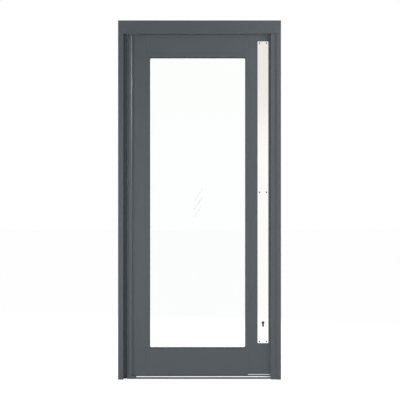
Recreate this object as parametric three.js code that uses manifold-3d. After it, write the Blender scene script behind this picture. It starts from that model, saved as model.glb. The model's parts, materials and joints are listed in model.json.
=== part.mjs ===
// Glazed commercial entrance door in its frame: a double-action leaf that turns on a round,
// finger-safe pivot tube. Millimetres, +Z up. The origin is the middle of the frame's foot:
// +X runs towards the lock side and -Y towards the outside.
import * as THREE from 'three';
import { mergeVertices } from 'three/addons/utils/BufferGeometryUtils.js';
import Module from 'manifold-3d';

const wasm = await Module();
wasm.setup();

// Frame
const FRAME_WIDTH = 1000;
const FRAME_HEIGHT = 2205;
const FRAME_DEPTH = 115;
const HEAD_HEIGHT = 78.5;
const HINGE_JAMB_FACE = 32;
const LOCK_JAMB_FACE = 62;
const LOCK_JAMB_STEP = { outside: 28, depth: 6 };
const WALL = 2.5;
const FIT = 0.3;                 // gap between pieces that touch
const PAST = 1;                  // how far a cut runs past the face that it opens
const END_CAP = { thickness: 1.7, plugDepth: 8, plugWall: 2 };
const GUARD = { depth: 54, brow: 10.3, nose: 21.6, race: 8, wall: 3, room: 5.5, clearance: 2.5 };
const GUARD_BARB = { length: 3.2, root: 6, tip: 2.5 };

// Threshold
const SILL_HEIGHT = 17;
const SILL_DEPTH = 72;
const SILL_BEVEL = 5;
const SILL_ROOM_BEVEL = 4;       // the same bevel inside the chambers
const SILL_LEFT = -390;
const SILL_SCREW = { head: 4.5, shank: 2.3, length: 16, fromEnd: 90 };

// Pivots
const PIVOT_X = -430;
const TUBE_RADIUS = 20;
const TUBE_BORE = 16;
const TUBE_BOTTOM = 19.1;
const TUBE_WEB = 18;             // width of the web that joins the tube to the stile
const FLOOR_BLOCK = { left: -449, right: -390.3, depth: 70, height: 18.6, corner: 12, edge: 1.2 };
const PIN = { radius: 7, foot: 4, top: 50, tip: 2 };
const BUSH_TOP = 60;
const SPINDLE = { radius: 11, hole: 13, inTube: 34, inCloser: 28, play: 0.6 };
const CLOSER = { behindPivot: 36, length: 300, depth: 60, height: 52 };

// Leaf
const LEAF_THICKNESS = 45;
const LEAF_LEFT = -404.5;
const LEAF_RIGHT = 433;
const LEAF_BOTTOM = 20;
const LEAF_TOP = 2124.5;
const HINGE_STILE = 73.5;
const HINGE_CORNER = 4;          // rounding of the hinge stile's corners beside the tube
const LOCK_STILE = 125.5;
const TOP_RAIL = 119;
const BOTTOM_RAIL = 145;
const STRIP = { left: 299, bottom: 23, top: 28, depth: 3, proud: 0.5 };
const BRUSH = { half: 2.5, sunk: 5, clear: 0.6, fromPivot: 52, fromStile: 4, fromEdge: 10, beside: 15 };

// Glazing
const BEAD_FACE = 20.5;
const BEAD_WALL = 2;
const BEAD_DEPTH = 5.9;
const BEAD_FOOT = { from: 2, to: 4, depth: 9 };
const SEAL_LIP = 4;
const SEAL_WIDTH = 12;
const SEAL_THICKNESS = 3.7;
const SEAL_CORNER = 7;
const PANE = 6;
const SPACER = { depth: 12, outer: 3, inner: 14 };
const GLASS_CLEARANCE = 6.5;
const SETTING_BLOCK = { length: 100, depth: 22 };

// Lock
const BACKSET = 41.5;
const CYLINDER_Z = 346;
const CYLINDER_LENGTH = 56;
const PROFILE = { radius: 8.5, stem: 5, drop: 19.5 };
const PLUG = { radius: 6.3, recess: 0.2, keyWidth: 2.2, keyHeight: 8.5, keyBottom: -4.5 };
const CAM = { radius: 7.3, width: 7, half: 4.7, tip: 14.9, sweep: 15.3, slot: 5.3 };
const CYLINDER_SCREW = { z: CYLINDER_Z - 20.4, radius: 2.4, past: 4 };
const CASE = { back: 29, half: 8, wall: 1.5, below: 50, above: 70, play: 0.4 };
const FOREND = { thickness: 2.2, half: 10, bottom: CYLINDER_Z - 62, top: CYLINDER_Z + 108 };
const BOLT = { bottom: CYLINDER_Z + 21, height: 30, thickness: 10, head: 25.2 };
const BOLT_TAIL = { half: 3, bottom: CYLINDER_Z + 11.5, top: CYLINDER_Z + 43, notch: 21 };
const STRIKE = { thickness: 1.7, half: 11, beyondBolt: 15, mouth: 1, jambMouth: 2 };
const STRIKE_SCREW = { head: 3, shank: 1.6, length: 7, inset: 6.5 };
const TURN = { radius: 12, thickness: 10, neck: 4, flare: 3, length: 21.5, edge: 1.5 };

// Push plates
const PLATE = { width: 67, bottom: 219.5, top: 2081, thickness: 3, corner: 4 };
const PLATE_HOLE = { clear: 0.5, longer: 1.2 };  // the plate's opening for the lock cylinder
const PLATE_SCREW = { head: 4, shank: 2, length: 11, pitch: 43, inset: 10.5 };
const SCREW_SIDES = 12;
const SCREW_RIM = 0.3;           // height of a head's straight edge above its cone
const SCREW_CLEAR = 0.35;        // clearance round a screw in its hole

// Worked out from the above
const HEAD_UNDERSIDE = FRAME_HEIGHT - HEAD_HEIGHT;
const JAMB_TOP = HEAD_UNDERSIDE - FIT;
const HALF_WIDTH = FRAME_WIDTH / 2;
const HALF_DEPTH = FRAME_DEPTH / 2;
const LOCK_JAMB_INSIDE = HALF_WIDTH - LOCK_JAMB_FACE;
const FACE = LEAF_THICKNESS / 2;
const REBATE = {
  left: LEAF_LEFT + HINGE_STILE,
  right: LEAF_RIGHT - LOCK_STILE,
  bottom: LEAF_BOTTOM + BOTTOM_RAIL,
  top: LEAF_TOP - TOP_RAIL,
};
const SIGHT = inset(REBATE, BEAD_FACE + SEAL_LIP);
const GLASS = inset(REBATE, GLASS_CLEARANCE);
const PANE_INSIDE = SPACER.depth / 2 + FIT;
const PANE_OUTSIDE = PANE_INSIDE + PANE;
const CYLINDER_X = LEAF_RIGHT - BACKSET;
const PLATE_MIDDLE = (PLATE.bottom + PLATE.top) / 2;
const PLATE_FACE = FACE + FIT + PLATE.thickness;
const BOLT_TOP = BOLT.bottom + BOLT.height;

const frameCoat = finish('#5b5f63', 0.45, 0.1);
const leafCoat = finish('#5a5e61', 0.45, 0.1);
const guardRubber = finish('#3c3d41', 0.8, 0);
const sealRubber = finish('#4a4b4a', 0.8, 0);
const millAluminium = finish('#d5d7d9', 0.35, 0.9);
const stainless = finish('#e9e6df', 0.25, 0.9);
const darkSteel = finish('#3a3a3c', 0.4, 0.8);
const zincSteel = finish('#a8aaad', 0.4, 0.8);
const glass = finish('#e8eeee', 0.05, 0);
const blackPlastic = finish('#2b2c2e', 0.6, 0);
const brushPile = finish('#39393a', 0.95, 0);

const door = new THREE.Group();
const frame = new THREE.Group();
const leaf = new THREE.Group();
door.add(frame, leaf);

// ---------------------------------------------------------------- shapes and solids

function finish(color, roughness, metalness) {
  return new THREE.MeshStandardMaterial({ color, roughness, metalness, flatShading: true });
}

function inset(rect, by) {
  return {
    left: rect.left + by,
    right: rect.right - by,
    bottom: rect.bottom + by,
    top: rect.top - by,
  };
}

// A closed outline, anticlockwise whichever way round its corners are given.
function outline(points) {
  const corners = points.map(([a, b]) => new THREE.Vector2(a, b));
  return new THREE.Shape(THREE.ShapeUtils.isClockWise(corners) ? corners.reverse() : corners);
}

function rectangle(left, right, bottom, top) {
  return outline([[left, bottom], [right, bottom], [right, top], [left, top]]);
}

function roundedRectangle({ left, right, bottom, top }, radius) {
  const quarter = Math.PI / 2;
  const shape = new THREE.Shape();
  shape.absarc(right - radius, bottom + radius, radius, -quarter, 0);
  shape.absarc(right - radius, top - radius, radius, 0, quarter);
  shape.absarc(left + radius, top - radius, radius, quarter, 2 * quarter);
  shape.absarc(left + radius, bottom + radius, radius, 2 * quarter, 3 * quarter);
  return shape;
}

function extrude(shape, length, segments) {
  return new THREE.ExtrudeGeometry(shape, {
    depth: length,
    bevelEnabled: false,
    curveSegments: segments,
  });
}

// A section drawn in X and Y, run upwards.
function alongZ(shape, from, to, segments = 6) {
  return extrude(shape, to - from, segments).translate(0, 0, from);
}

// A section drawn in Y and Z, run along X.
function alongX(shape, from, to, segments = 6) {
  const turn = new THREE.Matrix4().makeBasis(
    new THREE.Vector3(0, 1, 0), new THREE.Vector3(0, 0, 1), new THREE.Vector3(1, 0, 0));
  return extrude(shape, to - from, segments).applyMatrix4(turn).translate(from, 0, 0);
}

// A face drawn in X and Z, given its thickness along Y.
function alongY(shape, from, to, segments = 6) {
  const turn = new THREE.Matrix4().makeBasis(
    new THREE.Vector3(1, 0, 0), new THREE.Vector3(0, 0, 1), new THREE.Vector3(0, -1, 0));
  return extrude(shape, to - from, segments).applyMatrix4(turn).translate(0, to, 0);
}

function block([x0, y0, z0], [x1, y1, z1]) {
  return new THREE.BoxGeometry(x1 - x0, y1 - y0, z1 - z0)
    .translate((x0 + x1) / 2, (y0 + y1) / 2, (z0 + z1) / 2);
}

// A round rod between two heights on an upright axis.
function upright(x, y, radius, from, to, sides = 24) {
  return new THREE.CylinderGeometry(radius, radius, to - from, sides)
    .rotateX(Math.PI / 2).translate(x, y, (from + to) / 2);
}

// A round rod along X.
function crosswise(y, z, radius, from, to, sides = 16) {
  return new THREE.CylinderGeometry(radius, radius, to - from, sides)
    .rotateZ(Math.PI / 2).translate((from + to) / 2, y, z);
}

// A round rod along Y.
function inward(x, z, radius, from, to, sides = 24) {
  return new THREE.CylinderGeometry(radius, radius, to - from, sides)
    .translate(x, (from + to) / 2, z);
}

function turned(profile, sides) {
  return new THREE.LatheGeometry(profile.map(([r, h]) => new THREE.Vector2(r, h)), sides);
}

function solid(geometry) {
  const bare = geometry.clone();
  bare.deleteAttribute('normal');
  bare.deleteAttribute('uv');
  const merged = mergeVertices(bare, 1e-4);
  return new wasm.Manifold(new wasm.Mesh({
    numProp: 3,
    vertProperties: new Float32Array(merged.attributes.position.array),
    triVerts: new Uint32Array(merged.index.array),
  }));
}

function surface(body) {
  const mesh = body.getMesh();
  const geometry = new THREE.BufferGeometry();
  geometry.setAttribute('position', new THREE.BufferAttribute(mesh.vertProperties, 3));
  geometry.setIndex(new THREE.BufferAttribute(mesh.triVerts, 1));
  geometry.computeVertexNormals();
  return geometry;
}

function cut(geometry, ...tools) {
  return surface(tools.reduce((body, tool) => body.subtract(solid(tool)), solid(geometry)));
}

function join(...geometries) {
  return surface(geometries.map(solid).reduce((body, other) => body.add(other)));
}

function piece(parent, name, geometry, material, position = [0, 0, 0]) {
  const mesh = new THREE.Mesh(geometry, material);
  mesh.name = name;
  mesh.position.set(...position);
  parent.add(mesh);
  return mesh;
}

// ---------------------------------------------------------------- repeated small shapes

// A countersunk screw with its head at the origin, driven along +Y.
function screwGeometry({ head, shank, length }) {
  return turned([
    [0, 0], [head, 0], [head, SCREW_RIM], [shank, SCREW_RIM + head - shank],
    [shank, length - shank], [0, length],
  ], SCREW_SIDES);
}

// The clearance hole for such a screw, open at its head.
function screwHole({ head, shank }, length) {
  const wide = head + SCREW_CLEAR;
  const narrow = shank + SCREW_CLEAR;
  return turned([
    [0, -PAST], [wide, -PAST], [wide, SCREW_RIM], [narrow, SCREW_RIM + head - shank],
    [narrow, length], [0, length],
  ], SCREW_SIDES);
}

// The lock cylinder's profile in X and Z, grown all round by a clearance and lengthened below.
function cylinderProfile(grow, longer = 0) {
  const round = PROFILE.radius + grow;
  const stem = PROFILE.stem + grow;
  const shoulder = Math.asin(stem / round);
  const quarter = Math.PI / 2;
  const shape = new THREE.Shape();
  shape.absarc(CYLINDER_X, CYLINDER_Z, round, shoulder - quarter, 3 * quarter - shoulder);
  shape.absarc(CYLINDER_X, CYLINDER_Z - PROFILE.drop - longer, stem, 2 * quarter, 4 * quarter);
  return shape;
}

// ---------------------------------------------------------------- frame

// A rectangle as deep as the head, drawn in by `by` on every side.
function headSection(by) {
  return rectangle(-HALF_DEPTH + by, HALF_DEPTH - by, HEAD_UNDERSIDE + by, FRAME_HEIGHT - by);
}

function addHead() {
  const section = headSection(0);
  section.holes.push(headSection(WALL));
  const end = HALF_WIDTH - END_CAP.thickness - FIT;
  const spindleHole = upright(
    PIVOT_X, 0, SPINDLE.hole, HEAD_UNDERSIDE - PAST, HEAD_UNDERSIDE + WALL + PAST);
  piece(frame, 'frame_head', cut(alongX(section, -end, end), spindleHole), frameCoat);

  // Each end cap is a plate with a hollow plug that slides into the head.
  const plug = headSection(WALL + FIT);
  plug.holes.push(headSection(WALL + FIT + END_CAP.plugWall));
  const inside = HALF_WIDTH - END_CAP.thickness;
  const rooted = inside + END_CAP.thickness / 2;
  const plugEnd = inside - END_CAP.plugDepth;
  piece(frame, 'head_cap_right', join(
    alongX(headSection(0), inside, HALF_WIDTH), alongX(plug, plugEnd, rooted)), frameCoat);
  piece(frame, 'head_cap_left', join(
    alongX(headSection(0), -HALF_WIDTH, -inside), alongX(plug, -rooted, -plugEnd)), frameCoat);
}

function addHingeJamb() {
  const outside = -HALF_WIDTH;
  const inside = outside + HINGE_JAMB_FACE;
  const race = GUARD.race / 2;
  piece(frame, 'hinge_jamb', alongZ(outline([
    [inside, -HALF_DEPTH], [inside, -race], [inside - WALL, -race],
    [inside - WALL, -HALF_DEPTH + WALL], [outside + WALL, -HALF_DEPTH + WALL],
    [outside + WALL, HALF_DEPTH - WALL], [inside - WALL, HALF_DEPTH - WALL],
    [inside - WALL, race], [inside, race], [inside, HALF_DEPTH],
    [outside, HALF_DEPTH], [outside, -HALF_DEPTH],
  ]), 0, JAMB_TOP), frameCoat);

  // The guard's barbed foot sits in the jamb's race. It fills the jamb's depth as far as the
  // leaf's swing leaves free, and narrows to a nose that is hollowed round the tube.
  const half = GUARD.depth / 2;
  const nose = GUARD.nose / 2;
  const seat = TUBE_RADIUS + GUARD.clearance;
  const neck = race - FIT;
  const base = inside + FIT;
  const barbRoot = inside - WALL - FIT;
  const barbTip = barbRoot - GUARD_BARB.length;
  const brow = base + GUARD.brow;
  const spread = Math.asin(nose / seat);
  const guard = outline([
    [barbRoot, neck], [barbRoot, GUARD_BARB.root], [barbTip, GUARD_BARB.tip],
    [barbTip, -GUARD_BARB.tip], [barbRoot, -GUARD_BARB.root], [barbRoot, -neck],
    [base, -neck], [base, -half], [brow, -half],
  ]);
  guard.absarc(PIVOT_X, 0, seat, Math.PI + spread, Math.PI - spread, true);
  guard.lineTo(brow, half);
  guard.lineTo(base, half);
  guard.lineTo(base, neck);
  const room = base + GUARD.wall;
  guard.holes.push(rectangle(room, room + GUARD.room, -half + GUARD.wall, half - GUARD.wall));
  piece(frame, 'finger_guard', alongZ(guard, 0, JAMB_TOP), guardRubber);
}

function addLockJamb() {
  const inside = LOCK_JAMB_INSIDE;
  const step = HALF_WIDTH - LOCK_JAMB_STEP.outside;
  const stepDepth = HALF_DEPTH - LOCK_JAMB_STEP.depth;
  const section = outline([
    [inside, -stepDepth], [step, -stepDepth], [step, -HALF_DEPTH], [HALF_WIDTH, -HALF_DEPTH],
    [HALF_WIDTH, HALF_DEPTH], [step, HALF_DEPTH], [step, stepDepth], [inside, stepDepth],
  ]);
  section.holes.push(outline([
    [inside + WALL, -stepDepth + WALL], [step + WALL, -stepDepth + WALL],
    [step + WALL, -HALF_DEPTH + WALL], [HALF_WIDTH - WALL, -HALF_DEPTH + WALL],
    [HALF_WIDTH - WALL, HALF_DEPTH - WALL], [step + WALL, HALF_DEPTH - WALL],
    [step + WALL, stepDepth - WALL], [inside + WALL, stepDepth - WALL],
  ]));
  const boltHole = (from, to, mouth) => block(
    [from, -BOLT.thickness / 2 - mouth, BOLT.bottom - mouth],
    [to, BOLT.thickness / 2 + mouth, BOLT_TOP + mouth]);

  // Strike plate on the jamb's inside face, in the gap beside the leaf.
  const strikeBack = inside - FIT;
  const strikeFront = strikeBack - STRIKE.thickness;
  const strikeBottom = BOLT.bottom - STRIKE.beyondBolt;
  const strikeTop = BOLT_TOP + STRIKE.beyondBolt;
  const screws = {
    strike_screw_lower: strikeBottom + STRIKE_SCREW.inset,
    strike_screw_upper: strikeTop - STRIKE_SCREW.inset,
  };
  const screwHoles = Object.values(screws).map((z) => screwHole(
    STRIKE_SCREW, STRIKE_SCREW.length + PAST).rotateZ(-Math.PI / 2).translate(strikeFront, 0, z));
  piece(frame, 'lock_jamb', cut(alongZ(section, 0, JAMB_TOP),
    boltHole(inside - PAST, inside + WALL + PAST, STRIKE.jambMouth), ...screwHoles), frameCoat);
  piece(frame, 'strike_plate', cut(
    block([strikeFront, -STRIKE.half, strikeBottom], [strikeBack, STRIKE.half, strikeTop]),
    boltHole(strikeFront - PAST, strikeBack + PAST, STRIKE.mouth), ...screwHoles), stainless);
  for (const [name, z] of Object.entries(screws)) {
    const screw = piece(frame, name, screwGeometry(STRIKE_SCREW), zincSteel, [strikeFront, 0, z]);
    screw.rotation.z = -Math.PI / 2;
  }
}

// A bevelled plank's section, given by its half depth, foot, top and bevel.
function sillCorners(half, foot, top, bevel) {
  return [[half, foot], [half, top - bevel], [half - bevel, top]];
}

function addThreshold() {
  const half = SILL_DEPTH / 2;
  const right = LOCK_JAMB_INSIDE - FIT;
  const front = sillCorners(half, 0, SILL_HEIGHT, SILL_BEVEL);
  const section = outline([...front, ...front.map(([y, z]) => [-y, z]).reverse()]);

  // Two chambers run the whole length, with a rib between them.
  const rib = WALL / 2;
  const roof = SILL_HEIGHT - WALL;
  const room = sillCorners(half - WALL, WALL, roof, SILL_ROOM_BEVEL);
  const chambers = [-1, 1].map((side) => alongX(
    outline([[rib, WALL], ...room, [rib, roof]].map(([y, z]) => [side * y, z])),
    SILL_LEFT - PAST, right + PAST));

  const places = [SILL_LEFT + SILL_SCREW.fromEnd, right - SILL_SCREW.fromEnd];
  const holes = places.map((x) => screwHole(SILL_SCREW, SILL_HEIGHT + PAST)
    .rotateX(-Math.PI / 2).translate(x, 0, SILL_HEIGHT));
  piece(frame, 'threshold',
    cut(alongX(section, SILL_LEFT, right), ...chambers, ...holes), millAluminium);
  places.forEach((x, index) => {
    const screw = piece(frame, `threshold_screw_${index + 1}`,
      screwGeometry(SILL_SCREW), zincSteel, [x, 0, SILL_HEIGHT]);
    screw.rotation.x = -Math.PI / 2;
  });
}

// A part turned about the pivot's upright axis, its profile given as radius and height.
function pivotPiece(parent, name, profile, material) {
  const sides = 24;
  return piece(parent, name, turned(profile, sides).rotateX(Math.PI / 2), material, [PIVOT_X, 0, 0]);
}

function addBottomPivot() {
  const { left, right, depth, height, corner, edge } = FLOOR_BLOCK;
  const plan = roundedRectangle({ left, right, bottom: -depth / 2, top: depth / 2 }, corner);
  const body = new THREE.ExtrudeGeometry(plan, {
    depth: height - 2 * edge,
    bevelThickness: edge,
    bevelSize: edge,
    bevelOffset: -edge,
    bevelSegments: 2,
    curveSegments: 5,
  }).translate(0, 0, edge);
  const bore = PIN.radius + FIT;
  piece(frame, 'bottom_pivot_block',
    cut(body, upright(PIVOT_X, 0, bore, PIN.foot, height + PAST)), leafCoat);
  pivotPiece(frame, 'bottom_pivot_pin', [
    [0, PIN.foot + FIT], [PIN.radius, PIN.foot + FIT], [PIN.radius, PIN.top - PIN.tip],
    [PIN.radius - PIN.tip, PIN.top], [0, PIN.top],
  ], zincSteel);

  // The bush fills the tube's bore and caps the pin, so that the leaf's weight rests on it.
  const cap = PIN.top + FIT;
  pivotPiece(leaf, 'bottom_bush', [
    [bore, TUBE_BOTTOM], [TUBE_BORE - FIT, TUBE_BOTTOM], [TUBE_BORE - FIT, BUSH_TOP],
    [0, BUSH_TOP], [0, cap], [bore, cap], [bore, TUBE_BOTTOM],
  ], blackPlastic);
}

function addCloser() {
  const bottom = HEAD_UNDERSIDE + WALL + FIT;
  const start = PIVOT_X - CLOSER.behindPivot;
  const spindleTop = bottom + SPINDLE.inCloser;
  const spindleBottom = LEAF_TOP - SPINDLE.inTube;
  piece(frame, 'closer_body', cut(
    block([start, -CLOSER.depth / 2, bottom],
      [start + CLOSER.length, CLOSER.depth / 2, bottom + CLOSER.height]),
    upright(PIVOT_X, 0, SPINDLE.radius + SPINDLE.play, bottom - PAST, spindleTop + PAST)),
  zincSteel);
  piece(leaf, 'closer_spindle',
    upright(0, 0, SPINDLE.radius, spindleBottom, spindleTop), zincSteel, [PIVOT_X, 0, 0]);

  const hub = SPINDLE.radius + FIT;
  const sleeve = TUBE_BORE - FIT;
  pivotPiece(leaf, 'top_bush', [
    [hub, spindleBottom], [sleeve, spindleBottom], [sleeve, LEAF_TOP - FIT],
    [hub, LEAF_TOP - FIT], [hub, spindleBottom],
  ], zincSteel);
}

// ---------------------------------------------------------------- leaf

function addPivotTube() {
  const web = TUBE_WEB / 2;
  const start = Math.asin(web / TUBE_RADIUS);
  const section = new THREE.Shape();
  section.absarc(PIVOT_X, 0, TUBE_RADIUS, start, 2 * Math.PI - start);
  section.lineTo(LEAF_LEFT - FIT, -web);
  section.lineTo(LEAF_LEFT - FIT, web);
  const bore = new THREE.Path();
  bore.absarc(PIVOT_X, 0, TUBE_BORE, 0, 2 * Math.PI);
  section.holes.push(bore);
  piece(leaf, 'pivot_tube', alongZ(section, TUBE_BOTTOM, LEAF_TOP, 20), leafCoat);
}

// Points round a section's outer corner, from its edge at `far` to its face on one side.
function corner(far, towards, side, radius) {
  const steps = 4;
  return Array.from({ length: steps + 1 }, (_, step) => {
    const angle = step / steps * Math.PI / 2;
    const across = radius * (1 - Math.cos(angle));
    return [far + towards * across, side * (FACE - radius + radius * Math.sin(angle))];
  });
}

// A stile or rail section: a hollow box with a lip behind the glass. `wall` is where the box
// stops at the rebate, `far` is its other edge, and the lip reaches into the opening.
function railSection(far, wall, radius = 0) {
  const towards = Math.sign(wall - far);
  const [front, back] = [-1, 1].map((side) => (
    radius > 0 ? corner(far, towards, side, radius) : [[far, side * FACE]]));
  const lip = wall + towards * BEAD_FACE;
  const nose = lip - towards * BEAD_WALL;
  const noseDepth = FACE - BEAD_DEPTH;
  const lipDepth = FACE - BEAD_WALL;
  return {
    box: [...front, [wall, -FACE], [wall, lipDepth], [nose, lipDepth], [nose, noseDepth],
      [lip, noseDepth], [lip, FACE], ...back.reverse()],
    hollow: [[far + towards * WALL, -FACE + WALL], [wall - towards * WALL, -FACE + WALL],
      [wall - towards * WALL, FACE - WALL], [far + towards * WALL, FACE - WALL]],
  };
}

// Slot for the wear strip, cut through the outer wall of the stile and the rail.
const stripSlot = () => block(
  [STRIP.left - FIT, -FACE - PAST, STRIP.bottom - FIT],
  [LEAF_RIGHT + PAST, -FACE + STRIP.depth, STRIP.top + FIT]);

// The brushes, each a bar sunk in the leaf's edge, grown all round by a clearance.
function brushBar(name, grow) {
  const { half, sunk, clear, fromPivot, fromStile, fromEdge, beside } = BRUSH;
  const middle = half + grow;
  const right = LEAF_RIGHT - fromEdge + grow;
  const bars = {
    bottom: [[PIVOT_X + fromPivot - grow, -middle, SILL_HEIGHT + clear],
      [right, middle, LEAF_BOTTOM + sunk + grow]],
    top: [[LEAF_LEFT + fromStile - grow, -middle, LEAF_TOP - sunk - grow],
      [right, middle, HEAD_UNDERSIDE - clear]],
    edge: [[LEAF_RIGHT - sunk - grow, beside - middle, LEAF_BOTTOM + fromStile - grow],
      [LEAF_RIGHT + half, beside + middle, LEAF_TOP - fromStile + grow]],
  };
  return block(...bars[name]);
}

const plateScrews = [];
for (const z of [PLATE.bottom + PLATE_SCREW.inset, PLATE_MIDDLE, PLATE.top - PLATE_SCREW.inset]) {
  for (const side of [-1, 1]) {
    plateScrews.push([CYLINDER_X + side * PLATE_SCREW.pitch / 2, z]);
  }
}

function addStilesAndRails() {
  const ends = { bottom: REBATE.bottom + BEAD_FACE + FIT, top: REBATE.top - BEAD_FACE - FIT };
  const brushSlots = ['bottom', 'top'].map((name) => brushBar(name, FIT));
  const stile = (far, wall, radius) => {
    const { box, hollow } = railSection(far, wall, radius);
    const section = outline(box);
    section.holes.push(outline(hollow));
    const reach = wall + Math.sign(wall - far) * (BEAD_FACE + PAST);
    const [near, away] = [Math.min(wall, reach), Math.max(wall, reach)];
    return cut(alongZ(section, LEAF_BOTTOM, LEAF_TOP), ...brushSlots,
      block([near, -FACE - PAST, LEAF_BOTTOM - PAST], [away, FACE + PAST, ends.bottom]),
      block([near, -FACE - PAST, ends.top], [away, FACE + PAST, LEAF_TOP + PAST]));
  };
  piece(leaf, 'hinge_stile', stile(LEAF_LEFT, REBATE.left, HINGE_CORNER), leafCoat);

  const shankHoles = plateScrews.map(([x, z]) => inward(
    x, z, PLATE_SCREW.shank + SCREW_CLEAR, -FACE - PAST, FACE + PAST, SCREW_SIDES));
  const profileHole = alongY(cylinderProfile(2 * FIT), -FACE - PAST, FACE + PAST);
  const forendSlot = block(
    [LEAF_RIGHT - WALL - PAST, -FOREND.half - FIT, FOREND.bottom - FIT],
    [LEAF_RIGHT + PAST, FOREND.half + FIT, FOREND.top + FIT]);
  piece(leaf, 'lock_stile', cut(stile(LEAF_RIGHT, REBATE.right),
    profileHole, forendSlot, stripSlot(), brushBar('edge', FIT), ...shankHoles), leafCoat);

  const rail = (far, wall) => {
    const { box, hollow } = railSection(far, wall);
    const section = outline(box.map(([a, b]) => [b, a]));
    section.holes.push(outline(hollow.map(([a, b]) => [b, a])));
    return alongX(section, REBATE.left + FIT, REBATE.right - FIT);
  };
  piece(leaf, 'top_rail', cut(rail(LEAF_TOP, REBATE.top), ...brushSlots), leafCoat);
  piece(leaf, 'bottom_rail',
    cut(rail(LEAF_BOTTOM, REBATE.bottom), stripSlot(), ...brushSlots), leafCoat);

  piece(leaf, 'wear_strip', block(
    [STRIP.left, -FACE - STRIP.proud, STRIP.bottom],
    [LEAF_RIGHT, -FACE - STRIP.proud + STRIP.depth, STRIP.top]), millAluminium);
}

// A snap-in bead: outer face, nose that presses on the seal, and a foot in the rebate.
function beadSection(wall, towards) {
  const { from, to, depth } = BEAD_FOOT;
  const back = BEAD_FACE - BEAD_WALL;
  return [
    [FIT, 0], [BEAD_FACE, 0], [BEAD_FACE, BEAD_DEPTH], [back, BEAD_DEPTH], [back, BEAD_WALL],
    [to, BEAD_WALL], [to, depth], [from, depth], [from, BEAD_WALL], [FIT, BEAD_WALL],
  ].map(([across, deep]) => [wall + towards * across, -FACE + deep]);
}

function rectangleOf({ left, right, bottom, top }) {
  return rectangle(left, right, bottom, top);
}

function addGlazing() {
  const upBead = (wall, towards) => alongZ(
    outline(beadSection(wall, towards)), REBATE.bottom + FIT, REBATE.top - FIT);
  const acrossBead = (wall, towards) => alongX(
    outline(beadSection(wall, towards).map(([a, b]) => [b, a])),
    REBATE.left + BEAD_FACE + FIT, REBATE.right - BEAD_FACE - FIT);
  piece(leaf, 'bead_hinge_side', upBead(REBATE.left, 1), leafCoat);
  piece(leaf, 'bead_lock_side', upBead(REBATE.right, -1), leafCoat);
  piece(leaf, 'bead_top', acrossBead(REBATE.top, -1), leafCoat);
  piece(leaf, 'bead_bottom', acrossBead(REBATE.bottom, 1), leafCoat);

  const pane = rectangleOf(GLASS);
  piece(leaf, 'glass_outer_pane', alongY(pane, -PANE_OUTSIDE, -PANE_INSIDE), glass);
  piece(leaf, 'glass_inner_pane', alongY(pane, PANE_INSIDE, PANE_OUTSIDE), glass);
  const spacer = rectangleOf(inset(GLASS, SPACER.outer));
  spacer.holes.push(rectangleOf(inset(GLASS, SPACER.inner)));
  piece(leaf, 'glass_spacer',
    alongY(spacer, -SPACER.depth / 2, SPACER.depth / 2), blackPlastic);

  const seal = rectangleOf(inset(SIGHT, -SEAL_WIDTH));
  seal.holes.push(roundedRectangle(SIGHT, SEAL_CORNER));
  const near = PANE_OUTSIDE + FIT;
  piece(leaf, 'gasket_outer', alongY(seal, -near - SEAL_THICKNESS, -near, 5), sealRubber);
  piece(leaf, 'gasket_inner', alongY(seal, near, near + SEAL_THICKNESS, 5), sealRubber);

  // The panes stand on two blocks, a quarter of their width in from each side.
  const quarter = (GLASS.right - GLASS.left) / 4;
  const { length, depth } = SETTING_BLOCK;
  [GLASS.left + quarter, GLASS.right - quarter].forEach((x, index) => {
    piece(leaf, `setting_block_${index + 1}`, block(
      [x - length / 2, -depth / 2, REBATE.bottom + FIT],
      [x + length / 2, depth / 2, GLASS.bottom - FIT]), blackPlastic);
  });
}

function addPushPlates() {
  const face = roundedRectangle({
    left: CYLINDER_X - PLATE.width / 2,
    right: CYLINDER_X + PLATE.width / 2,
    bottom: PLATE.bottom,
    top: PLATE.top,
  }, PLATE.corner);
  const holes = plateScrews.map(([x, z]) => screwHole(PLATE_SCREW, PLATE_SCREW.length)
    .translate(x, -PLATE_FACE, z));
  const cylinderHole = cylinderProfile(PLATE_HOLE.clear, PLATE_HOLE.longer);
  holes.push(alongY(cylinderHole, -PLATE_FACE - PAST, -FACE + PAST));
  const outer = cut(alongY(face, -PLATE_FACE, -FACE - FIT, 4), ...holes);
  piece(leaf, 'push_plate_outer', outer, stainless);

  // The inner plate is the outer one turned about the upright through the lock's axis.
  const inner = outer.clone().translate(-CYLINDER_X, 0, 0).rotateZ(Math.PI);
  piece(leaf, 'push_plate_inner', inner, stainless, [CYLINDER_X, 0, 0]);

  plateScrews.forEach(([x, z], index) => {
    const screw = screwGeometry(PLATE_SCREW);
    piece(leaf, `plate_screw_outer_${index + 1}`, screw, darkSteel, [x, -PLATE_FACE, z]);
    const inside = piece(leaf, `plate_screw_inner_${index + 1}`, screw, darkSteel,
      [x, PLATE_FACE, z]);
    inside.rotation.z = Math.PI;
  });
}

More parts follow.
